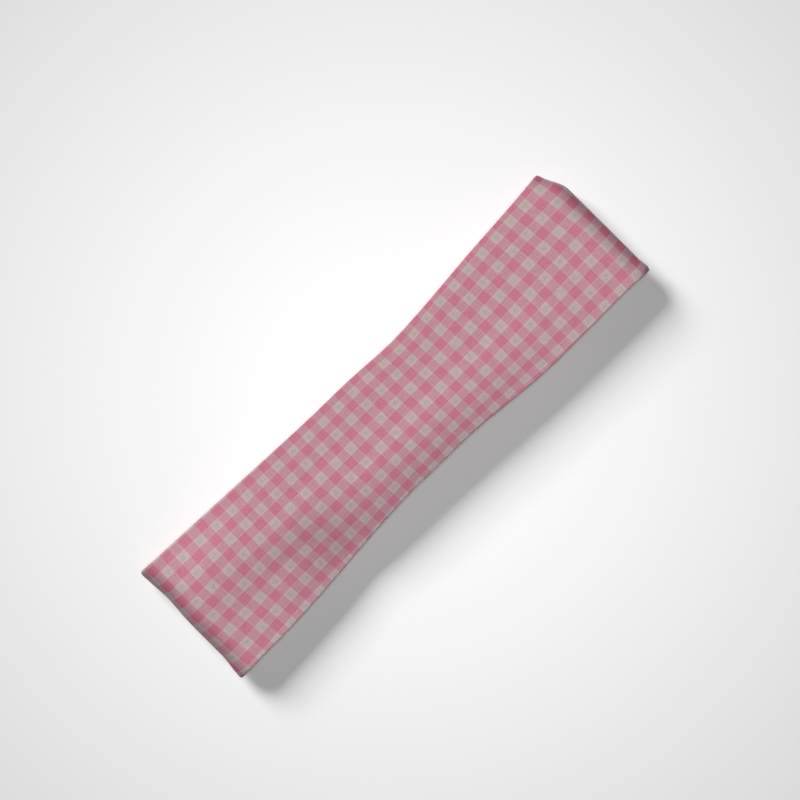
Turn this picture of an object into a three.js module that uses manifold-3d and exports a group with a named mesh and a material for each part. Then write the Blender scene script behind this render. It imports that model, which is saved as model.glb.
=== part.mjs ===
import * as THREE from 'three';
import { mergeVertices } from 'three/addons/utils/BufferGeometryUtils.js';
import Module from 'manifold-3d';

// Sports headband: a soft two-ply fabric loop, pressed flat with a rounded fold at each end.
// Millimetres. +X runs along the flattened loop, +Y across the band, +Z up from the surface it lies on.
// The origin is the middle of the resting face. The back half of the loop lies underneath, the front half on top.

// Loop
const flatLength = 250;          // fold to fold
const foldHeight = 14;           // outside of the back half to outside of the front half
const endWidth = 64;             // across the band at a fold
const waistWidth = 53.5;         // across the band at its middle
const waistRound = 60;           // length over which the two straight tapers round into each other
const middleLength = 83;         // the panel between the two middle bending lines

// Cloth
const outerThickness = 0.9;      // printed outer panel
const liningThickness = 0.9;     // wicking lining panel
const edgeSeamWidth = 1.5;       // turned edge with the overlocked allowances inside it
const clearance = 0.3;           // between neighbouring pieces

// Centre-back join
const ridgeWidth = 7;            // joined allowances, lying on the lining
const ridgeThickness = 1.1;
const threadDiameter = 0.5;
const stitchPitch = 4.2;         // one full zigzag of the overlock thread
const stitchMargin = 0.8;        // thread turns this far inside the ridge
const tackWidth = 1.8;           // across the ridge's end
const tackLength = 5.6;          // along the band
const tackHeight = 0.6;
const labelLength = 20;
const labelWidth = 16;
const labelThickness = 0.5;

// Fineness
const arcSegments = 6;           // per eighth of a turn of the fold
const waistSegments = 8;
const threadSides = 6;
const threadStepsPerStitch = 6;

const foldRadius = foldHeight / 2;
const foldCentreX = flatLength / 2 - foldRadius;
const bendX = middleLength / 2;
const clothThickness = outerThickness + clearance + liningThickness;
const gapAngle = clearance / (foldRadius - clothThickness);
const bendAngle = Math.PI / 4;   // the fold bends at 45 degrees below and above its middle

// Depths are measured inwards from the outside of the loop.
const outerDepth = [0, outerThickness];
const liningDepth = [outerThickness + clearance, clothThickness];
const wholeDepth = [0, clothThickness];

const printPink = new THREE.MeshStandardMaterial({ color: 0xc98a9c, roughness: 0.85, metalness: 0 });
const liningPink = new THREE.MeshStandardMaterial({ color: 0xd3a3ae, roughness: 0.9, metalness: 0 });
const edgePink = new THREE.MeshStandardMaterial({ color: 0xa9607a, roughness: 0.88, metalness: 0 });
const threadPink = new THREE.MeshStandardMaterial({ color: 0xc07a90, roughness: 0.6, metalness: 0 });
const labelWhite = new THREE.MeshStandardMaterial({ color: 0xeeeae6, roughness: 0.5, metalness: 0 });

const wasm = await Module();
wasm.setup();

const group = new THREE.Group();

function add(name, geometry, material) {
  const mesh = new THREE.Mesh(geometry, material);
  mesh.name = name;
  group.add(mesh);
  return mesh;
}

function solidOf(geometry) {
  const bare = geometry.clone();
  bare.deleteAttribute('normal');
  bare.deleteAttribute('uv');
  const merged = mergeVertices(bare);
  return new wasm.Manifold(new wasm.Mesh({
    numProp: 3,
    vertProperties: merged.attributes.position.array,
    triVerts: new Uint32Array(merged.index.array),
  }));
}

function geometryOf(solid) {
  const mesh = solid.getMesh();
  const geometry = new THREE.BufferGeometry();
  geometry.setAttribute('position', new THREE.BufferAttribute(mesh.vertProperties, 3));
  geometry.setIndex(new THREE.BufferAttribute(mesh.triVerts, 1));
  geometry.computeVertexNormals();
  return geometry;
}

// Side view: the profiles below are drawn for the back half's right side, x along the band and y up.
// A place says which side of the loop a profile is for.
function placed(points, place) {
  return new THREE.Shape(points.map((point) => new THREE.Vector2(
    place.right ? point.x : -point.x,
    place.front ? foldHeight - point.y : point.y,
  )));
}

function flatProfile(fromX, toX, [near, far], place) {
  const corners = [[fromX, near], [toX, near], [toX, far], [fromX, far]];
  return placed(corners.map(([x, y]) => new THREE.Vector2(x, y)), place);
}

function foldArc(radius, fromAngle, toAngle) {
  const arc = new THREE.EllipseCurve(foldCentreX, foldRadius, radius, radius, fromAngle, toAngle, toAngle < fromAngle);
  return arc.getPoints(arcSegments);
}

// An arm runs from a middle bending line to the fold's first bend, so it ends in an eighth of the fold's turn.
function armProfile([near, far], place) {
  const bottom = -Math.PI / 2;
  const end = -bendAngle - gapAngle / 2;
  const startX = bendX + clearance / 2;
  return placed([
    new THREE.Vector2(startX, near),
    ...foldArc(foldRadius - near, bottom, end),
    ...foldArc(foldRadius - far, end, bottom),
    new THREE.Vector2(startX, far),
  ], place);
}

function foldProfile([near, far], place) {
  const end = bendAngle - gapAngle / 2;
  return placed([
    ...foldArc(foldRadius - near, -end, end),
    ...foldArc(foldRadius - far, end, -end),
  ], place);
}

// Plan view: half the band's width at a distance from its middle, as two straight tapers with a round waist.
const taper = (endWidth - waistWidth) / 2 / (foldCentreX - waistRound / 4);

function edgeLine(side, inset) {
  const halfLength = flatLength / 2 + clearance;
  const tangentX = waistRound / 2;
  const waistY = waistWidth / 2 - inset;
  const cornerY = waistY - taper * tangentX / 2;
  const line = new THREE.Path();
  line.moveTo(-halfLength, side * (cornerY + taper * halfLength));
  line.lineTo(-tangentX, side * (cornerY + taper * tangentX));
  line.quadraticCurveTo(0, side * cornerY, tangentX, side * (cornerY + taper * tangentX));
  line.lineTo(halfLength, side * (cornerY + taper * halfLength));
  return line.getPoints(waistSegments);
}

const panelInset = edgeSeamWidth + clearance;
const panelPlan = new THREE.Shape([...edgeLine(-1, panelInset), ...edgeLine(1, panelInset).reverse()]);
const edgePlans = {
  upper: new THREE.Shape([...edgeLine(1, edgeSeamWidth), ...edgeLine(1, 0).reverse()]),
  lower: new THREE.Shape([...edgeLine(-1, 0), ...edgeLine(-1, edgeSeamWidth).reverse()]),
};

function risenPlan(plan) {
  const margin = 1;
  const geometry = new THREE.ExtrudeGeometry(plan, { depth: foldHeight + 2 * margin, bevelEnabled: false });
  geometry.translate(0, 0, -margin);
  return solidOf(geometry);
}

const panelCutter = risenPlan(panelPlan);
const edgeCutters = { upper: risenPlan(edgePlans.upper), lower: risenPlan(edgePlans.lower) };

// A piece of cloth is its side view run across the band, trimmed to its plan view.
function cloth(profile, cutter) {
  const across = endWidth + 2 * edgeSeamWidth;
  const geometry = new THREE.ExtrudeGeometry(profile, { depth: across, bevelEnabled: false });
  geometry.rotateX(Math.PI / 2);
  geometry.translate(0, across / 2, 0);
  return geometryOf(solidOf(geometry).intersect(cutter));
}

function addSegment(name, profileAt) {
  add(`outer_${name}`, cloth(profileAt(outerDepth), panelCutter), printPink);
  add(`lining_${name}`, cloth(profileAt(liningDepth), panelCutter), liningPink);
  for (const side of ['upper', 'lower']) {
    add(`edge_seam_${side}_${name}`, cloth(profileAt(wholeDepth), edgeCutters[side]), edgePink);
  }
}

const middleEnd = bendX - clearance / 2;
addSegment('back_mid', (depth) => flatProfile(-middleEnd, middleEnd, depth, { right: true, front: false }));
for (const [sideName, right] of [['left', false], ['right', true]]) {
  addSegment(`back_${sideName}`, (depth) => armProfile(depth, { right, front: false }));
  addSegment(`fold_${sideName}`, (depth) => foldProfile(depth, { right, front: false }));
  addSegment(`front_${sideName}`, (depth) => armProfile(depth, { right, front: true }));
  addSegment(`front_mid_${sideName}`, (depth) => flatProfile(clearance / 2, middleEnd, depth, { right, front: true }));
}

// Centre-back join: the joined allowances lie on the lining, oversewn with thread and tacked at both ends.
const ridgeLength = waistWidth - 2 * panelInset;
const ridgeBase = clothThickness + clearance;
const ridge = new THREE.BoxGeometry(ridgeWidth, ridgeLength, ridgeThickness);
add('back_seam_ridge', ridge, liningPink).position.z = ridgeBase + ridgeThickness / 2;

const onRidge = ridgeBase + ridgeThickness + clearance;

function overlockThread() {
  const run = ridgeLength - 2 * (tackWidth + clearance + threadDiameter);
  const stitches = Math.round(run / stitchPitch);
  const reach = ridgeWidth / 2 - stitchMargin;
  const turns = [];
  for (let turn = 0; turn <= 2 * stitches; turn += 1) {
    const y = -run / 2 + run * turn / (2 * stitches);
    turns.push(new THREE.Vector3(turn % 2 ? reach : -reach, y, onRidge + threadDiameter / 2));
  }
  const section = new THREE.Shape();
  section.absarc(0, 0, threadDiameter / 2, 0, 2 * Math.PI);
  return new THREE.ExtrudeGeometry(section, {
    steps: stitches * threadStepsPerStitch,
    curveSegments: threadSides,
    extrudePath: new THREE.CatmullRomCurve3(turns),
    bevelEnabled: false,
  });
}

add('back_seam_thread', overlockThread(), threadPink);

function roundEndedBar(length, width, height) {
  const straight = (length - width) / 2;
  const outline = new THREE.Shape();
  outline.absarc(straight, 0, width / 2, -Math.PI / 2, Math.PI / 2);
  outline.absarc(-straight, 0, width / 2, Math.PI / 2, 3 * Math.PI / 2);
  return new THREE.ExtrudeGeometry(outline, { depth: height, curveSegments: threadSides, bevelEnabled: false });
}

for (const [sideName, side] of [['upper', 1], ['lower', -1]]) {
  const tack = add(`bar_tack_${sideName}`, roundEndedBar(tackLength, tackWidth, tackHeight), threadPink);
  tack.position.set(0, side * (ridgeLength - tackWidth) / 2, onRidge);
}

// Care label: a folded tab with one end in the join, lying on the lining beside the ridge.
const label = new THREE.BoxGeometry(labelLength, labelWidth, labelThickness);
const labelX = ridgeWidth / 2 + clearance + labelLength / 2;
add('care_label', label, labelWhite).position.set(labelX, 0, ridgeBase + labelThickness / 2);

export default group;
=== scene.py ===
import math

import bpy
import numpy as np
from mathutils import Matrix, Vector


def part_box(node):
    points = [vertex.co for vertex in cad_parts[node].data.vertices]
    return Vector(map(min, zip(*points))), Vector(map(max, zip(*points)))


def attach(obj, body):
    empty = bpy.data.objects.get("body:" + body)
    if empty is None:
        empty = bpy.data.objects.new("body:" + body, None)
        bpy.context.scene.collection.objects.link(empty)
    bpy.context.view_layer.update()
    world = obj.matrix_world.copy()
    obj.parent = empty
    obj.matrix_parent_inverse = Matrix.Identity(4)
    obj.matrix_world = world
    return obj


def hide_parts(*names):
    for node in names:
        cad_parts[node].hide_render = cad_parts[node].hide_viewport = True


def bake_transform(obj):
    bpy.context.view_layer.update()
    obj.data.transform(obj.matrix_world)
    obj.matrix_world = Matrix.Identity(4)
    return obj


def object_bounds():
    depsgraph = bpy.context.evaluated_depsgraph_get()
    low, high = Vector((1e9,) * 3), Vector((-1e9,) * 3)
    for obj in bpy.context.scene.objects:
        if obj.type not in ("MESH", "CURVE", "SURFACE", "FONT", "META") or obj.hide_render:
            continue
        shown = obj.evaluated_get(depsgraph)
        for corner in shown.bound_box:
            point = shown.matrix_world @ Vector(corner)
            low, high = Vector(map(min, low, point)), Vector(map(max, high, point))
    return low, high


# A wide stretch headband, pressed flat: a two-ply cloth loop with a rounded fold at each end.
# The front half lies on top, printed side up. Lengths are in metres in the row frame.

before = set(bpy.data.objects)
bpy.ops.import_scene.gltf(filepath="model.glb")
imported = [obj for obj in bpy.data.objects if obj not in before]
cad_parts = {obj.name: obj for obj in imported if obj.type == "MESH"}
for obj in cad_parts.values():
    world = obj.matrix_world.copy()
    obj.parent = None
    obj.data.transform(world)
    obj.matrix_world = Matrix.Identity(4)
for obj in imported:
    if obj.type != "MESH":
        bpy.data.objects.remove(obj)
cad_low, cad_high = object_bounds()
MM = 0.001

# ---------------------------------------------------------------- sizes from the frame
HALF_LENGTH = (cad_high.x - cad_low.x) / 2
HEIGHT = cad_high.z - cad_low.z
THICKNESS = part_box("lining_back_mid")[1].z
PLY = 0.8 * MM

# ---------------------------------------------------------------- shape of the cloth
FOLD_REACH = 8.5 * MM           # along the band, from the flat cloth to the end of the fold
EDGE_RADIUS = THICKNESS / 2     # the turned long edge
EDGE_ROUNDNESS = 0.25           # how far the pressed edge bulges, as a share of its radius
LINING_INSET = 0.55 * MM        # between the turned edge and the lining's own edge
EDGE_TAIL = 1.1 * MM            # the turned allowance that lies on the inside
BACK_TUCK = 0.9 * MM            # the back half is this much narrower on each side
STATION_STEP = 2.2 * MM
FOLD_STATIONS = 20              # over each half of a fold
ACROSS_POINTS = 44
ROLL_POINTS = 7
CUT_X = 80 * MM                 # where a piece that bends at one hinge meets the next


def smooth(t):
    t = np.clip(t, 0, 1)
    return t * t * (3 - 2 * t)


def bell(t):
    return np.exp(-t * t)


def upper_edge(x):
    """The +Y edge: two tapers that round into each other at a waist right of the middle."""
    waist_x, waist_y, rounding = 24 * MM, 25.52 * MM, 12 * MM
    along = x - waist_x
    taper = np.where(along < 0, 0.0495, 0.073)
    swelling = 0.65 * MM * bell(x / (18 * MM)) + 0.35 * MM * bell((x - 76 * MM) / (20 * MM))
    return waist_y + taper * (np.sqrt(along ** 2 + rounding ** 2) - rounding) + swelling


def lower_edge(x):
    """The -Y edge: nearly straight over the middle, and fuller towards both ends."""
    waist_y = 26.8 * MM
    left = 4.9 * MM * smooth((-x - 8 * MM) / (95 * MM))
    right = 5.0 * MM * smooth((x - 6 * MM) / (66 * MM))
    swelling = 0.6 * MM * bell((x - 6 * MM) / (15 * MM))
    corner = np.where(x < 0, 0.4 * MM, 0.8 * MM) * smooth((np.abs(x) - 112 * MM) / (12 * MM))
    return -(waist_y + left + right + swelling + corner)


def end_shift(side, y):
    """How far a fold's end lies past the nominal end: its corners and hollows, along the band."""
    across = y / (32 * MM)
    rounding = 0.5 * MM * smooth((np.abs(across) - 0.965) / 0.05)
    if side < 0:
        hollow = 1.0 * MM * bell((across - 0.52) / 0.3)
        return 0.45 * MM + 1.4 * MM * smooth((-across - 0.55) / 0.45) - hollow - rounding
    drawn_back = 5.1 * MM * smooth((across - 0.56) / 0.46)
    point = 0.6 * MM * smooth((-across - 0.8) / 0.15)
    return 2.8 * MM - drawn_back + point - rounding


def end_slide(x, y):
    """How far the cloth at x is moved along the band by the shape of its end."""
    shift = np.where(x < 0, -end_shift(-1, y), end_shift(1, y))
    return shift * smooth((np.abs(x) - 92 * MM) / (31 * MM))


def front_relief(x, y):
    """Height of the front half above its nominal plane: soft dents and swellings."""
    height = -3.4 * MM * bell((x + 60 * MM) / (22 * MM)) * smooth((2.4 * MM - y) / (32 * MM))
    height -= 4.3 * MM * bell((x + 10 * MM) / (69 * MM)) * smooth((-5.5 * MM - y) / (37 * MM))
    height += 1.0 * MM * bell((x - 21 * MM) / (65 * MM)) * smooth((2 * MM - y) / (25 * MM))
    height += 1.5 * MM * bell((x + 100 * MM) / (25 * MM)) * bell((y - 9.5 * MM) / (16 * MM))
    height -= 0.55 * MM * bell((x + 73 * MM) / (21 * MM)) * bell((y + 9.7 * MM) / (8.4 * MM))
    height -= 0.12 * MM * bell((x + 21 * MM) / (90 * MM)) * bell((y - 10.5 * MM) / (3.8 * MM))
    sunk_left = 3.4 * MM * smooth((-x - 62 * MM) / (34 * MM))
    sunk_right = 2.0 * MM * smooth((x - 20 * MM) / (50 * MM))
    return height + 1.0 * MM - sunk_left - sunk_right


def back_relief(x, y):
    """Height of the back half above the floor: it touches at its middle and ends, and its edges lift."""
    near_end = smooth((np.abs(x) - 85 * MM) / (30 * MM))
    lift = 1.25 * MM * bell((np.abs(x) - 34.5 * MM) / (9.5 * MM))
    curl = 1.2 * MM * smooth((np.abs(y) / (30 * MM) - 0.45) / 0.6)
    return lift + curl * (1 - near_end)


def pucker(s, y):
    """Small waves where the sewn edges draw the cloth in."""
    near_edge = smooth((np.abs(y) / (31 * MM) - 0.55) / 0.45)
    slow = np.sin(s / (2.9 * MM) + 1.3 * np.sin(s / (11 * MM)))
    quick = 0.7 * np.sin(s / (1.9 * MM) + 2 * np.sign(y))
    return 0.06 * MM * near_edge * (1.7 + slow + quick)


# ---------------------------------------------------------------- the loop's path
# s runs round the loop from the middle of the front half: positive to the right, negative to the left.
FLAT = HALF_LENGTH - FOLD_REACH
FOLD_ANGLES = np.linspace(0, math.pi, 721)
fold_steps = np.hypot(
    np.diff(FOLD_REACH * np.sin(FOLD_ANGLES)), np.diff(HEIGHT / 2 * np.cos(FOLD_ANGLES)))
FOLD_LENGTHS = np.concatenate([[0], np.cumsum(fold_steps)])
FOLD_LENGTH = FOLD_LENGTHS[-1]
FOLD_MIDDLE = FLAT + FOLD_LENGTH / 2
HALF_LOOP = 2 * FLAT + FOLD_LENGTH


def path_at(s):
    """Side, nominal x and z of the outer face, and the inward normal, at each s."""
    s = (s + HALF_LOOP) % (2 * HALF_LOOP) - HALF_LOOP
    side = np.where(s < 0, -1.0, 1.0)
    run = np.abs(s)
    angle = np.interp(run - FLAT, FOLD_LENGTHS, FOLD_ANGLES)
    beyond = np.maximum(run - FLAT - FOLD_LENGTH, 0)
    x = np.minimum(run, FLAT) + FOLD_REACH * np.sin(angle) - beyond
    z = HEIGHT / 2 * (1 + np.cos(angle))
    inward_x, inward_z = -HEIGHT / 2 * np.sin(angle), -FOLD_REACH * np.cos(angle)
    size = np.hypot(inward_x, inward_z)
    return side, side * x, z, side * inward_x / size, inward_z / size


def front_share(s):
    """1 on the front half of the loop, 0 on the back half, with a smooth change round each fold."""
    run = np.abs((s + HALF_LOOP) % (2 * HALF_LOOP) - HALF_LOOP)
    return 1 - smooth((run - FOLD_MIDDLE + 9 * MM) / (18 * MM))


def section_points(kind):
    """The ring of a ply's cross-section, as (place across from -1 to 1, offset across, depth) rows.
    The outer panel wraps round both long edges; the lining lies between them."""
    across = np.sin(np.linspace(-math.pi / 2, math.pi / 2, ACROSS_POINTS))
    rows = []
    if kind == "outer":
        roll = np.linspace(0, math.pi, ROLL_POINTS)[1:]
        for radius, order in ((EDGE_RADIUS, 1), (EDGE_RADIUS - PLY, -1)):
            face = [(t, 0.0, EDGE_RADIUS - radius) for t in across]
            reach = radius * EDGE_ROUNDNESS
            right = [(1, reach * math.sin(a), EDGE_RADIUS - radius * math.cos(a)) for a in roll]
            right.append((1, -EDGE_TAIL, EDGE_RADIUS + radius))
            left = [(-t, -o, d) for t, o, d in right][::-1]
            rows += (left + face + right)[::order]
        return np.array(rows)
    lining_top = THICKNESS - PLY
    inset = -(EDGE_TAIL + LINING_INSET)
    lip = 0.25 * MM
    face = [(t, inset * t - lip * t, THICKNESS) for t in across]
    under = [(t, inset * t - lip * t, lining_top) for t in across]
    right = [(1, inset, THICKNESS - PLY * k) for k in (0.25, 0.75)]
    left = [(-1, -inset, THICKNESS - PLY * k) for k in (0.75, 0.25)]
    return np.array(under + right[::-1] + face[::-1] + left[::-1])


def place(s, section):
    """Positions of a section's points at each s."""
    s = s[:, None]
    side, x, z, inward_x, inward_z = path_at(s)
    front = front_share(s)
    tuck = BACK_TUCK * (1 - front) * (1 - smooth((np.abs(x) - 95 * MM) / (20 * MM)))
    rim = EDGE_RADIUS * EDGE_ROUNDNESS
    high = upper_edge(x) - tuck - rim
    low = lower_edge(x) + tuck + rim
    t, offset, depth = section.T
    y = (high + low) / 2 + t * (high - low) / 2 + offset
    slide = end_slide(x, y)
    off_the_fold = 1 - smooth((np.abs(x) - 95 * MM) / (25 * MM))
    rise = front * front_relief(x, y) + (1 - front) * back_relief(x, y) * off_the_fold
    inward_z = inward_z * np.ones_like(y)
    puckered = pucker(s, y)
    points = np.stack([
        x + inward_x * (depth + puckered) + slide,
        y,
        z + inward_z * (depth + puckered) + rise,
    ], axis=-1)
    return points


def normals_of(s, section):
    """Unit normals of the whole loop's surface, which don't see where the pieces are cut."""
    nudge = 0.2 * MM
    along = place(s + nudge, section) - place(s - nudge, section)
    points = place(s, section)
    round_ring = np.roll(points, -1, axis=1) - np.roll(points, 1, axis=1)
    normal = np.cross(round_ring, along)
    return normal / np.maximum(np.linalg.norm(normal, axis=-1, keepdims=True), 1e-12)


# ---------------------------------------------------------------- the print
CHECK = 9.5 * MM                # one light and one dark stripe
PANEL_CHECKS = 6.9              # checks across the panel


def print_along(x, y):
    """The print's own coordinate along the band, in checks: its columns lean a little."""
    share = np.clip(x / (228 * MM) + 0.5, 0, 1)
    lean_above = (12.3 * share ** 1.5 - 3.0 * (1 - share)) * np.maximum(y, 0)
    lean_below = 10.3 * (1 - share) * np.minimum(y, 0)
    drawn = 0.12 * bell((x + 109 * MM) / (9 * MM)) * smooth(y / (12 * MM) + 0.2)
    return -1.8 + 107.4 * x - 154 * x ** 3 + lean_above + lean_below + drawn


def print_across(x, y):
    """The print's own coordinate across the band, in checks: its rows crowd at the waist's edges."""
    dent = bell((x + 77 * MM) / (30 * MM))
    pitch = 104.9 + 5 * bell((x + 9 * MM) / (66 * MM)) + 5 * dent
    crowding_above = 1.6e4 * bell(x / (80 * MM)) + 2.4e4 * bell((x - 27 * MM) / (15 * MM))
    crowding_below = 3.44e4 * bell((x - 17 * MM) / (57 * MM))
    crowding = np.where(y > 0, crowding_above, crowding_below)
    rise = 0.09 + 0.22 * smooth((x - 45 * MM) / (70 * MM)) + 0.06 * dent
    return -0.52 + rise - pitch * y - crowding * y ** 3


def print_at(s, section):
    points = place(s, section)
    y = points[..., 1]
    s = s[:, None] * np.ones_like(y)
    t, offset, depth = section.T
    _, x, _, _, _ = path_at(s)
    on_front = np.clip(s, -FLAT, FLAT)
    front = front_share(s)
    slid = front * end_slide(x, y)
    along = print_along(on_front + slid, y) + (s - on_front) / CHECK
    across_front = print_across(np.clip(x, -FLAT, FLAT), y)
    across_back = -t * PANEL_CHECKS / 2 - offset / CHECK
    wrapped = -np.sign(t) * depth / CHECK * (np.abs(offset) > 0)
    return along, front * across_front + (1 - front) * across_back + wrapped


# ---------------------------------------------------------------- mesh building
def add_object(name, vertices, faces):
    mesh = bpy.data.meshes.new(name)
    mesh.from_pydata([tuple(v) for v in vertices], [], faces)
    mesh.update()
    piece = bpy.data.objects.new(name, mesh)
    bpy.context.scene.collection.objects.link(piece)
    return piece


def set_map(mesh, spots, name="print"):
    """Stores a pair of numbers for each vertex as a UV map."""
    uv = mesh.uv_layers.new(name=name)
    corners = np.zeros(len(mesh.loops), np.int32)
    mesh.loops.foreach_get("vertex_index", corners)
    uv.uv.foreach_set("vector", spots[corners].astype(np.float32).ravel())


def strip_mesh(name, s, section, half, coordinates):
    """One stretch of a ply, from the first s to the last, closed at both ends, with its UV maps."""
    points = place(s, section)
    normals = normals_of(s, section)
    along, across = coordinates(s, section)
    stations, ring = points.shape[:2]
    faces = []
    corner_normals = []
    for i in range(stations - 1):
        for j in range(ring):
            k = (j + 1) % ring
            faces.append((i * ring + j, i * ring + k, (i + 1) * ring + k, (i + 1) * ring + j))
            corner_normals += [normals[i, j], normals[i, k], normals[i + 1, k], normals[i + 1, j]]
    for i, order in ((0, 1), (stations - 1, -1)):
        outward = (points[i] - points[i + order]).mean(0)
        outward = outward / np.linalg.norm(outward)
        for j in range(half - 1):
            a, b = i * ring + j, i * ring + j + 1
            c, d = i * ring + ring - 2 - j, i * ring + ring - 1 - j
            faces.append((a, d, c, b) if order > 0 else (a, b, c, d))
            corner_normals += [outward] * 4
    piece = add_object(name, points.reshape(-1, 3), faces)
    mesh = piece.data
    set_map(mesh, np.stack([along.reshape(-1), across.reshape(-1)], axis=1))
    from_fold = (np.abs(s) - FOLD_MIDDLE) / MM
    rings = np.repeat(np.stack([from_fold, np.sign(s.mean()) * np.ones_like(s)], axis=1), ring, axis=0)
    set_map(mesh, rings, "from_fold")
    rim = np.where(section[:, 1] == 0, 0, np.sign(section[:, 0]) * section[:, 2] / THICKNESS)
    set_map(mesh, np.tile(np.stack([rim, np.abs(rim)], axis=1), (stations, 1)), "turned_edge")
    mesh.polygons.foreach_set("use_smooth", [True] * len(mesh.polygons))
    mesh.normals_split_custom_set([tuple(n) for n in corner_normals])
    return piece


def stations_between(first, last):
    """Places along s from first to last, closer together round a fold."""
    marks = [first]
    for mark in (FLAT, FOLD_MIDDLE, FLAT + FOLD_LENGTH):
        if first < mark < last:
            marks.append(mark)
    marks.append(last)
    places = []
    for begin, end in zip(marks, marks[1:]):
        in_fold = FLAT - 1e-9 <= begin and end <= FLAT + FOLD_LENGTH + 1e-9
        count = FOLD_STATIONS if in_fold else max(2, round((end - begin) / STATION_STEP))
        places += list(np.linspace(begin, end, count + 1)[:-1])
    return np.array(places + [last])


# ---------------------------------------------------------------- materials
def new_material(name):
    material = bpy.data.materials.new(name)
    material.use_nodes = True
    tree = material.node_tree
    tree.nodes.clear()
    output = tree.nodes.new("ShaderNodeOutputMaterial")
    shader = tree.nodes.new("ShaderNodeBsdfPrincipled")
    tree.links.new(shader.outputs["BSDF"], output.inputs["Surface"])
    return material, tree, shader


def put(tree, value, socket):
    """Sets a socket from a number or links it from another socket."""
    if isinstance(value, bpy.types.NodeSocket):
        tree.links.new(value, socket)
    else:
        socket.default_value = value


def calc(tree, operation, *values):
    node = tree.nodes.new("ShaderNodeMath")
    node.operation = operation
    for value, socket in zip(values, node.inputs):
        put(tree, value, socket)
    return node.outputs[0]


def ramp(tree, value, low, high, to_low=0.0, to_high=1.0, shape="SMOOTHSTEP"):
    node = tree.nodes.new("ShaderNodeMapRange")
    node.interpolation_type = shape
    for name, number in (("From Min", low), ("From Max", high), ("To Min", to_low), ("To Max", to_high)):
        node.inputs[name].default_value = number
    put(tree, value, node.inputs["Value"])
    return node.outputs["Result"]


def blend_colour(tree, factor, a, b, mode="MIX"):
    node = tree.nodes.new("ShaderNodeMix")
    node.data_type = "RGBA"
    node.blend_type = mode
    put(tree, factor, node.inputs[0])
    put(tree, a, node.inputs[6])
    put(tree, b, node.inputs[7])
    return node.outputs[2]


def noise(tree, along, across, along_scale, across_scale, detail=2.0, seed=0.0):
    """Noise on the cloth's own coordinates, stretched as the two scales say (repeats per check)."""
    spot = tree.nodes.new("ShaderNodeCombineXYZ")
    put(tree, calc(tree, "MULTIPLY", along, along_scale), spot.inputs[0])
    put(tree, calc(tree, "MULTIPLY", across, across_scale), spot.inputs[1])
    spot.inputs[2].default_value = seed
    node = tree.nodes.new("ShaderNodeTexNoise")
    node.inputs["Scale"].default_value = 1.0
    node.inputs["Detail"].default_value = detail
    tree.links.new(spot.outputs[0], node.inputs["Vector"])
    return node.outputs[0]


def cloth_coordinates(tree, name="print"):
    uv = tree.nodes.new("ShaderNodeUVMap")
    uv.uv_map = name
    parts = tree.nodes.new("ShaderNodeSeparateXYZ")
    tree.links.new(uv.outputs[0], parts.inputs[0])
    return parts.outputs[0], parts.outputs[1]


def distance_to_whole(tree, value):
    """0 at a whole number and 0.5 half way between two."""
    return calc(tree, "PINGPONG", calc(tree, "ADD", value, 1000.0), 0.5)


def bump_from(tree, shader, height, strength, distance):
    node = tree.nodes.new("ShaderNodeBump")
    node.inputs["Strength"].default_value = strength
    node.inputs["Distance"].default_value = distance
    put(tree, height, node.inputs["Height"])
    tree.links.new(node.outputs[0], shader.inputs["Normal"])


WHITE_CHECK = (0.515, 0.378, 0.385, 1)
WHITE_HEART = (0.465, 0.375, 0.366, 1)
BORDER_THREAD = (0.56, 0.385, 0.405, 1)
MID_CHECK = (0.505, 0.253, 0.302, 1)
DARK_CHECK = (0.533, 0.176, 0.250, 1)
DARK_CHECK_IN_FOLD_SHADE = (0.533, 0.122, 0.212, 1)
LINING_PINK = (0.56, 0.27, 0.33, 1)
THREAD_SHADE = (0.50, 0.25, 0.31, 1)
THREAD_PINK = (0.76, 0.50, 0.56, 1)
SATIN_SHADE = (0.62, 0.60, 0.59, 1)
SATIN_WHITE = (0.86, 0.85, 0.84, 1)
THREADS_PER_CHECK = 30


def weave_height(tree, along, across, per_check):
    """Threads that pass over and under each other, 0 to 1."""
    along_thread = distance_to_whole(tree, calc(tree, "MULTIPLY", along, per_check / 2))
    across_thread = distance_to_whole(tree, calc(tree, "MULTIPLY", across, per_check / 2))
    crossing = calc(tree, "ABSOLUTE", calc(tree, "SUBTRACT", along_thread, across_thread))
    return calc(tree, "MULTIPLY", crossing, 2.0)


def fade(tree, value, low, high):
    """1 up to low, and 0 from high on."""
    return ramp(tree, value, low, high, 1.0, 0.0)


def stripe_border(tree, distance):
    """1 along the light threads just inside a white stripe's borders."""
    return calc(tree, "MULTIPLY", ramp(tree, distance, 0.165, 0.205), fade(tree, distance, 0.222, 0.248))


def heart_of(tree, column, row):
    """1 in the middle of a white check."""
    return calc(tree, "MULTIPLY", fade(tree, column, 0.08, 0.19), fade(tree, row, 0.08, 0.19))


def dark_threads(tree, along, across, column, row):
    """Short greyer threads that cross in the middle of the white checks."""
    broken = ramp(tree, noise(tree, along, across, 5.0, 5.0, detail=1.0, seed=8.0), 0.40, 0.56)
    down = calc(tree, "MULTIPLY", fade(tree, column, 0.01, 0.06), fade(tree, row, 0.12, 0.2))
    over = calc(tree, "MULTIPLY", fade(tree, row, 0.01, 0.06), fade(tree, column, 0.12, 0.2))
    crossed = calc(tree, "MULTIPLY", calc(tree, "MAXIMUM", down, over), broken)
    return calc(tree, "MULTIPLY", crossed, 0.09)


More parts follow.
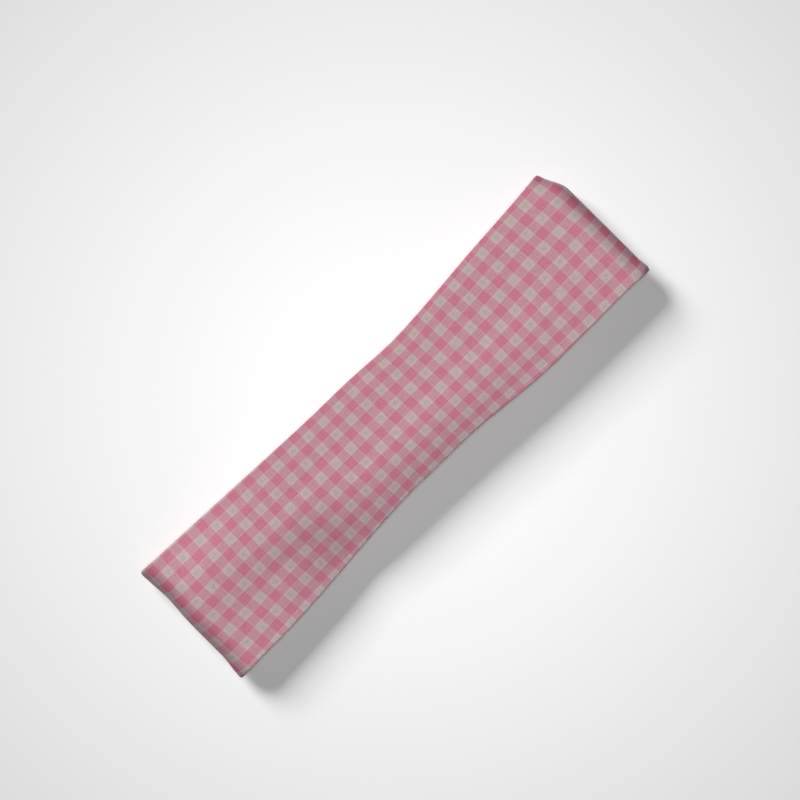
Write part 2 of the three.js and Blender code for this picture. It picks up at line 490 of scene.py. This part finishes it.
def fold_painted_shade(tree):
    """Painted shade on the folds: cloth towards a fold's tip is coloured darker, the left fold more than
    the right one.
    Gives how much shade is painted there, 0 to 1, and the tone that is left."""
    distance, side = cloth_coordinates(tree, "from_fold")
    fold_shade = fade(tree, calc(tree, "ABSOLUTE", distance), 3.0, 13.5)
    depth = ramp(tree, side, -0.5, 0.5, 0.51, 0.40)
    return fold_shade, calc(tree, "SUBTRACT", 1.0, calc(tree, "MULTIPLY", fold_shade, depth))


def rim_painted_shade(tree):
    """Painted shade on the turned +Y edge, which faces the key light: it is coloured darker, and the -Y
    edge is left as it is.
    """
    rim, _ = cloth_coordinates(tree, "turned_edge")
    upper = calc(tree, "MULTIPLY", ramp(tree, rim, 0.0, 0.12), 0.45)
    return calc(tree, "SUBTRACT", 1.0, upper)


def wandering(tree, value, spread):
    """The value moved a little to and fro by a noise about 0.5."""
    offset = calc(tree, "MULTIPLY", calc(tree, "SUBTRACT", spread, 0.5), 0.05)
    return calc(tree, "ADD", value, offset)


def tinted(tree, colour, tone):
    """The colour made lighter or darker by a tone."""
    grey = tree.nodes.new("ShaderNodeCombineColor")
    for socket in grey.inputs[:3]:
        tree.links.new(tone, socket)
    return blend_colour(tree, 1.0, colour, grey.outputs[0], "MULTIPLY")


def cloth_finish(shader):
    """The dull face and short nap that both jerseys have."""
    shader.inputs["Specular IOR Level"].default_value = 0.2
    shader.inputs["Sheen Weight"].default_value = 0.12
    shader.inputs["Sheen Roughness"].default_value = 0.5


def printed_checks(tree, column, row, fold_shade):
    """The gingham: white and pink columns and rows, with light threads along their borders."""
    pink_column = ramp(tree, column, 0.225, 0.275)
    pink_row = ramp(tree, row, 0.225, 0.275)
    white = blend_colour(tree, heart_of(tree, column, row), WHITE_CHECK, WHITE_HEART)
    on_white = blend_colour(tree, pink_column, white, MID_CHECK)
    # painted shade: the dark pink checks turn deeper and darker on the folds
    dark = blend_colour(tree, fold_shade, DARK_CHECK, DARK_CHECK_IN_FOLD_SHADE)
    on_pink = blend_colour(tree, pink_column, MID_CHECK, dark)
    checked = blend_colour(tree, pink_row, on_white, on_pink)
    column_border = calc(tree, "MULTIPLY", stripe_border(tree, column), 0.14)
    row_border = calc(tree, "MULTIPLY", stripe_border(tree, row), 0.30)
    return blend_colour(tree, calc(tree, "MAXIMUM", column_border, row_border), checked, BORDER_THREAD)


def gingham_material():
    material, tree, shader = new_material("gingham_jersey")
    along, across = cloth_coordinates(tree)
    column = distance_to_whole(tree, wandering(tree, along, noise(tree, along, across, 3.0, 0.8)))
    row = distance_to_whole(tree, wandering(tree, across, noise(tree, along, across, 0.8, 3.0, seed=4.0)))
    # painted shade on the folds, which stands in for the shading of the rolled ends
    fold_shade, fold_shade_tone = fold_painted_shade(tree)
    printed = printed_checks(tree, column, row, fold_shade)
    slub_a = noise(tree, along, across, 1.6, 22.0, detail=3.0, seed=1.0)
    slub_b = noise(tree, along, across, 22.0, 1.6, detail=3.0, seed=2.0)
    grain = noise(tree, along, across, 12.0, 12.0, detail=4.0, seed=3.0)
    weave = weave_height(tree, along, across, THREADS_PER_CHECK)
    tone = calc(tree, "ADD", calc(tree, "MULTIPLY", slub_a, 0.34), calc(tree, "MULTIPLY", slub_b, 0.34))
    tone = calc(tree, "ADD", tone, calc(tree, "MULTIPLY", grain, 0.36))
    tone = calc(tree, "ADD", tone, calc(tree, "MULTIPLY", weave, 0.07))
    tone = calc(tree, "ADD", tone, 0.425)
    tone = calc(tree, "SUBTRACT", tone, dark_threads(tree, along, across, column, row))
    # the painted fold shade darkens the print towards each fold's tip
    tone = calc(tree, "MULTIPLY", tone, fold_shade_tone)
    # painted shade on the turned +Y edge
    tone = calc(tree, "MULTIPLY", tone, rim_painted_shade(tree))
    tree.links.new(tinted(tree, printed, tone), shader.inputs["Base Color"])
    rough = calc(tree, "ADD", calc(tree, "MULTIPLY", grain, 0.15), 0.78)
    tree.links.new(rough, shader.inputs["Roughness"])
    cloth_finish(shader)
    height = calc(tree, "ADD", calc(tree, "MULTIPLY", weave, 0.6), calc(tree, "MULTIPLY", grain, 0.5))
    bump_from(tree, shader, height, 0.35, 0.1 * MM)
    return material


def lining_material():
    material, tree, shader = new_material("lining_jersey")
    along, across = cloth_coordinates(tree)
    wale = distance_to_whole(tree, calc(tree, "MULTIPLY", across, 12.0))
    raised = calc(tree, "MULTIPLY", wale, 1.2)
    course = distance_to_whole(tree, calc(tree, "ADD", calc(tree, "MULTIPLY", along, 14.0), raised))
    knit = calc(tree, "ADD", raised, calc(tree, "MULTIPLY", course, 0.8))
    grain = noise(tree, along, across, 9.0, 9.0, detail=4.0, seed=5.0)
    tone = calc(tree, "ADD", calc(tree, "MULTIPLY", knit, 0.14), calc(tree, "MULTIPLY", grain, 0.2))
    tone = calc(tree, "ADD", tone, 0.8)
    tree.links.new(tinted(tree, LINING_PINK, tone), shader.inputs["Base Color"])
    shader.inputs["Roughness"].default_value = 0.85
    cloth_finish(shader)
    bump_from(tree, shader, calc(tree, "ADD", knit, calc(tree, "MULTIPLY", grain, 0.3)), 0.5, 0.12 * MM)
    return material


def ply_pieces(kind, material, coordinates):
    section = section_points(kind)
    half = len(section) // 2
    pieces = {}
    back_cut = HALF_LOOP - CUT_X
    stretches = {
        "front": (0.0, CUT_X),
        "fold_upper": (CUT_X, FOLD_MIDDLE),
        "fold_lower": (FOLD_MIDDLE, back_cut),
        "back": (back_cut, HALF_LOOP),
    }
    for side_name, side in (("left", -1), ("right", 1)):
        for stretch, (first, last) in stretches.items():
            s = stations_between(first, last) * side
            if side < 0:
                s = s[::-1]
            name = f"{kind}_cloth_{stretch}_{side_name}"
            piece = strip_mesh(name, s, section, half, coordinates)
            piece.data.materials.append(material)
            bend_piece(piece, stretch)
            pieces[(stretch, side_name)] = piece
    return pieces


def bend_piece(piece, stretch):
    """Bakes a stretch of cloth's placement into its mesh; every stretch is done alike."""
    if stretch == "front":
        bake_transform(piece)
    elif stretch == "back":
        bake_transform(piece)
    elif stretch == "fold_lower":
        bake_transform(piece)
    else:
        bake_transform(piece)


def flat_coordinates(s, section):
    """The lining's own coordinates, in checks, as if it lay flat."""
    t, _, _ = section.T
    along, across = np.meshgrid(s / CHECK, t * PANEL_CHECKS / 2, indexing="ij")
    return along, across


outer = ply_pieces("outer", gingham_material(), print_at)
lining = ply_pieces("lining", lining_material(), flat_coordinates)


def stand_for_cad():
    """Hides the CAD cloth solids of the bodies listed for each stretch of cloth."""
    bodies = {
        ("back", "left"): ["back_mid"], ("back", "right"): ["back_right"],
        ("fold_lower", "left"): ["back_left"], ("fold_lower", "right"): ["fold_right"],
        ("fold_upper", "left"): ["fold_left", "front_left"],
        ("fold_upper", "right"): ["front_right"],
        ("front", "left"): ["front_mid_left"], ("front", "right"): ["front_mid_right"],
    }
    for key, names in bodies.items():
        for body in names:
            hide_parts(f"outer_{body}", f"edge_seam_upper_{body}", f"edge_seam_lower_{body}")
            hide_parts(f"lining_{body}")


stand_for_cad()

# ---------------------------------------------------------------- the centre-back join and the label
def tube_mesh(name, paths, radius, sides=8):
    """Closed round threads along the given paths, as one piece, with length and turn as their UV map."""
    vertices, faces, spots = [], [], []
    for path in paths:
        path = np.array(path)
        forward = np.gradient(path, axis=0)
        forward /= np.linalg.norm(forward, axis=1, keepdims=True)
        across = np.cross(forward, (0, 0, 1.0))
        across /= np.linalg.norm(across, axis=1, keepdims=True)
        up = np.cross(across, forward)
        base = len(vertices)
        taper = np.clip(np.minimum(np.arange(len(path)), np.arange(len(path))[::-1]) / 2, 0.35, 1)
        run = np.concatenate([[0], np.cumsum(np.linalg.norm(np.diff(path, axis=0), axis=1))])
        for i, centre in enumerate(path):
            for k in range(sides):
                turn = 2 * math.pi * k / sides
                ring = math.cos(turn) * across[i] + math.sin(turn) * up[i]
                vertices.append(centre + radius * taper[i] * ring)
                spots.append((run[i] / radius, k / sides))
        for i in range(len(path) - 1):
            for k in range(sides):
                a, b = base + i * sides + k, base + i * sides + (k + 1) % sides
                faces.append((a, a + sides, b + sides, b))
        faces.append(tuple(base + k for k in range(sides)))
        last = base + (len(path) - 1) * sides
        faces.append(tuple(last + k for k in reversed(range(sides))))
    piece = add_object(name, vertices, faces)
    set_map(piece.data, np.array(spots))
    piece.data.polygons.foreach_set("use_smooth", [True] * len(piece.data.polygons))
    return piece


def grid_solid(name, top, under, spots):
    """A closed solid between two grids of points of the same size."""
    rows, columns = top.shape[:2]
    count = rows * columns
    index = np.arange(count).reshape(rows, columns)
    faces = []
    for i in range(rows - 1):
        for j in range(columns - 1):
            a, b, c, d = index[i, j], index[i, j + 1], index[i + 1, j + 1], index[i + 1, j]
            faces.append((a, b, c, d))
            faces.append((d + count, c + count, b + count, a + count))
    rim = list(index[0, :-1]) + list(index[:-1, -1]) + list(index[-1, :0:-1]) + list(index[:0:-1, 0])
    for a, b in zip(rim, rim[1:] + rim[:1]):
        faces.append((b, a, a + count, b + count))
    vertices = np.concatenate([top.reshape(-1, 3), under.reshape(-1, 3)])
    piece = add_object(name, vertices, [tuple(int(i) for i in face) for face in faces])
    flat = spots.reshape(-1, 2)
    set_map(piece.data, np.concatenate([flat, flat]))
    piece.data.polygons.foreach_set("use_smooth", [True] * len(piece.data.polygons))
    return piece


def dress(piece, material, node):
    """Gives a piece on the back its material, hides the CAD node whose place it takes, and hangs it on the
    back_mid body.
    """
    piece.data.materials.append(material)
    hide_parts(node)
    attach(piece, "back_mid")


def lining_height(x, y):
    return THICKNESS + back_relief(x, y)


def rounded_over(x, half_width):
    """The ridge's section: 1 at its middle, 0 at its sides."""
    return np.sqrt(np.clip(1 - (x / half_width) ** 4, 0, 1))


def add_seam_ridge(material):
    """The joined allowances: a soft ridge across the band that swells a little between its stitches."""
    low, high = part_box("back_seam_ridge")
    x = np.linspace(low.x, high.x, 25)[:, None]
    y = np.linspace(low.y, high.y, 121)[None, :]
    along = np.clip(np.minimum(y - low.y, high.y - y) / (1.5 * MM), 0, 1)
    round_over = rounded_over(x, high.x) * (0.35 + 0.65 * np.sqrt(along))
    swell = 0.1 * MM * np.sin(2 * math.pi * y / (2.6 * MM)) * (x / high.x)
    x_grid, y_grid = np.broadcast_arrays(x + 0.12 * MM * np.sin(y / (1.7 * MM)), y)
    base = lining_height(x_grid, y_grid) + 0.05 * MM
    rise = (high.z - low.z) * round_over
    top = np.stack([x_grid, y_grid, base + 0.3 * MM + rise + swell * round_over], axis=-1)
    under = np.stack([x_grid, y_grid, base], axis=-1)
    spots = np.stack([x_grid / CHECK, y_grid / CHECK], axis=-1)
    dress(grid_solid("seam_ridge", top, under, spots), material, "back_seam_ridge")


def ridge_top(x, y):
    low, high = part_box("back_seam_ridge")
    return lining_height(x, y) + 0.35 * MM + (high.z - low.z) * rounded_over(x, high.x)


def add_overlock_thread(material):
    """The overlock stitching: a zigzag over the ridge with a straight needle thread on each side."""
    low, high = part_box("back_seam_thread")
    radius = 0.2 * MM
    pitch = 2.6 * MM
    inside = 2.4 * MM
    reach = high.x - radius
    steps = round((high.y - low.y) / pitch)
    y = np.linspace(low.y + radius, high.y - radius, steps * 24)
    phase = y / pitch * 2 * math.pi
    sharpness = 0.985
    zigzag_x = reach * np.arcsin(sharpness * np.sin(phase)) / math.asin(sharpness)
    paths = [np.stack([zigzag_x, y, ridge_top(zigzag_x, y) + radius], axis=1)]
    for x in (-inside, inside):
        needle_x = x + 0.1 * MM * np.sin(phase)
        dip = 0.25 * MM * np.abs(np.sin(phase / 2))
        paths.append(np.stack([needle_x, y, ridge_top(needle_x, y) + 2.6 * radius - dip], axis=1))
    dress(tube_mesh("overlock_thread", paths, radius), material, "back_seam_thread")


def add_bar_tack(name, node, material):
    """A dense bar of satin stitches over one end of the join."""
    low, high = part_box(node)
    radius = 0.17 * MM
    stitches = 17
    paths = []
    for k, x in enumerate(np.linspace(low.x + radius, high.x - radius, stitches)):
        y = np.linspace(low.y, high.y, 9)
        arch = np.sin(np.linspace(0, math.pi, 9))
        lean = 0.12 * MM * (-1) ** k * np.linspace(-1, 1, 9)
        z = ridge_top(x + lean, y) + 0.5 * radius + (0.3 + 0.06 * (k % 3)) * MM * arch ** 0.5
        paths.append(np.stack([x + lean, y, z], axis=1))
    dress(tube_mesh(name, paths, radius), material, node)


def add_care_label(material):
    """A blank satin tape folded double, its ends caught in the join, lying on the lining."""
    low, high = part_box("care_label")
    tape = 0.14 * MM
    root = low.x - 1.2 * MM
    bend_radius = 0.32 * MM
    straight = np.linspace(root, high.x - bend_radius, 34)
    turn = np.linspace(0, math.pi, 11)[1:-1]
    x = np.concatenate([straight, straight[-1] + bend_radius * np.sin(turn), straight[::-1]])
    level = np.concatenate([0 * straight, bend_radius * (1 - np.cos(turn)), 0 * straight + 2 * bend_radius])
    y = np.linspace(low.y, high.y, 25)
    x_grid, y_grid = np.meshgrid(x, y, indexing="ij")
    level_grid = level[:, None] * np.ones_like(y_grid)
    free = np.clip((x_grid - low.x) / (high.x - low.x), 0, 1)
    cockle = 0.16 * MM * np.sin(y_grid / (2.6 * MM) + 1.1) * free
    lift = 0.9 * MM * free ** 2 * smooth((y_grid - low.y) / (high.y - low.y)) + 0.25 * MM * free
    clear = lining_height(x_grid, y_grid) + 0.28 * MM
    height = clear + level_grid + cockle * (0.4 + level_grid / MM) + lift
    middle = np.stack([x_grid, y_grid, height], axis=-1)
    along = np.gradient(middle, axis=0)
    sideways = np.gradient(middle, axis=1)
    normal = np.cross(along, sideways)
    normal /= np.linalg.norm(normal, axis=-1, keepdims=True)
    run = np.concatenate([[0], np.cumsum(np.hypot(np.diff(x), np.diff(level)))])
    spots = np.stack([run[:, None] / CHECK * np.ones_like(y_grid), y_grid / CHECK], axis=-1)
    half_tape = normal * tape / 2
    piece = grid_solid("care_label_tape", middle + half_tape, middle - half_tape, spots)
    dress(piece, material, "care_label")


def thread_material():
    material, tree, shader = new_material("sewing_thread")
    run, turn = cloth_coordinates(tree)
    twist = calc(tree, "ADD", calc(tree, "MULTIPLY", run, 0.35), calc(tree, "MULTIPLY", turn, 2.0))
    strand = distance_to_whole(tree, twist)
    fuzz = noise(tree, run, turn, 0.7, 5.0, detail=3.0, seed=6.0)
    tone = calc(tree, "ADD", calc(tree, "MULTIPLY", strand, 0.35), calc(tree, "MULTIPLY", fuzz, 0.25))
    colour = blend_colour(tree, tone, THREAD_SHADE, THREAD_PINK)
    tree.links.new(colour, shader.inputs["Base Color"])
    shader.inputs["Roughness"].default_value = 0.6
    shader.inputs["Sheen Weight"].default_value = 0.2
    bump_from(tree, shader, strand, 0.5, 0.08 * MM)
    return material


def satin_material():
    material, tree, shader = new_material("satin_tape")
    along, across = cloth_coordinates(tree)
    float_thread = distance_to_whole(tree, calc(tree, "MULTIPLY", across, 34.0))
    slub = noise(tree, along, across, 1.5, 30.0, detail=3.0, seed=7.0)
    tone = calc(tree, "ADD", calc(tree, "MULTIPLY", float_thread, 0.25), calc(tree, "MULTIPLY", slub, 0.7))
    colour = blend_colour(tree, tone, SATIN_SHADE, SATIN_WHITE)
    tree.links.new(colour, shader.inputs["Base Color"])
    tree.links.new(calc(tree, "ADD", calc(tree, "MULTIPLY", slub, 0.2), 0.26), shader.inputs["Roughness"])
    shader.inputs["Anisotropic"].default_value = 0.6
    shader.inputs["Sheen Weight"].default_value = 0.15
    bump_from(tree, shader, calc(tree, "ADD", float_thread, slub), 0.25, 0.05 * MM)
    return material


thread = thread_material()
add_seam_ridge(bpy.data.materials["lining_jersey"])
add_overlock_thread(thread)
add_bar_tack("bar_tack_at_upper_edge", "bar_tack_upper", thread)
add_bar_tack("bar_tack_at_lower_edge", "bar_tack_lower", thread)
add_care_label(satin_material())

# ---------------------------------------------------------------- floor, light and camera
FLOOR_PALE = 0.95


def add_floor():
    """A pale floor whose colour is painted darker away from the middle of the view: a painted falloff of
    the light.
    """
    bpy.ops.mesh.primitive_plane_add(size=6, location=(0, 0, 0))
    floor = bpy.context.object
    floor.name = "floor"
    material, tree, shader = new_material("pale_floor")
    spot = tree.nodes.new("ShaderNodeTexCoord").outputs["Object"]
    away = tree.nodes.new("ShaderNodeVectorMath")
    away.operation = "DISTANCE"
    tree.links.new(spot, away.inputs[0])
    away.inputs[1].default_value = (VIEW_CENTRE[0], VIEW_CENTRE[1], 0)
    # painted light falloff: the floor's colour falls from FLOOR_PALE at the middle to about 0.7 of it
    # further out
    tone = ramp(tree, away.outputs["Value"], 0.06, 0.26, FLOOR_PALE, FLOOR_PALE * 0.715, "LINEAR")
    grey = tree.nodes.new("ShaderNodeCombineColor")
    for socket in grey.inputs[:3]:
        tree.links.new(tone, socket)
    tree.links.new(grey.outputs[0], shader.inputs["Base Color"])
    shader.inputs["Roughness"].default_value = 0.9
    shader.inputs["Specular IOR Level"].default_value = 0.0
    floor.data.materials.append(material)


def add_key_light(power, distance, elevation, azimuth, width, depth):
    """A wide softbox facing the band. Azimuth is where it stands, from +X towards +Y, in degrees."""
    light = bpy.data.lights.new("key", "AREA")
    light.shape = "RECTANGLE"
    light.size = width
    light.size_y = depth
    light.energy = power
    lamp = bpy.data.objects.new("key", light)
    rise, bearing = math.radians(elevation), math.radians(azimuth)
    away = distance * math.cos(rise)
    lamp.location = (away * math.cos(bearing), away * math.sin(bearing), distance * math.sin(rise))
    lamp.rotation_euler = (rise - math.pi / 2, 0, bearing - math.pi / 2)
    bpy.context.scene.collection.objects.link(lamp)


def add_overhead_light(strength, angle):
    light = bpy.data.lights.new("overhead", "SUN")
    light.energy = strength
    light.angle = math.radians(angle)
    lamp = bpy.data.objects.new("overhead", light)
    bpy.context.scene.collection.objects.link(lamp)


VIEW_TURN = math.radians(45.15)     # the band's +X points this far above the picture's right
VIEW_WIDTH = 1.4036 * (2 * HALF_LENGTH)
VIEW_CENTRE = (9.6 * MM, 4.9 * MM)
CAMERA_HEIGHT = 1.8


def add_camera():
    data = bpy.data.cameras.new("camera")
    camera = bpy.data.objects.new("camera", data)
    bpy.context.scene.collection.objects.link(camera)
    distance = CAMERA_HEIGHT - HEIGHT
    data.sensor_width = 36
    data.lens = data.sensor_width * distance / VIEW_WIDTH
    camera.location = (*VIEW_CENTRE, CAMERA_HEIGHT)
    camera.rotation_euler = (0, 0, -VIEW_TURN)
    bpy.context.scene.camera = camera


def add_world():
    world = bpy.data.worlds.new("studio")
    world.use_nodes = True
    background = world.node_tree.nodes["Background"]
    background.inputs["Color"].default_value = (1, 1, 1, 1)
    background.inputs["Strength"].default_value = 0.03
    bpy.context.scene.world = world


add_floor()
add_key_light(power=3760, distance=16, elevation=27, azimuth=93, width=7.6, depth=5.8)
add_overhead_light(strength=1.17, angle=16)
add_world()
add_camera()
bpy.context.scene.view_settings.view_transform = "Standard"
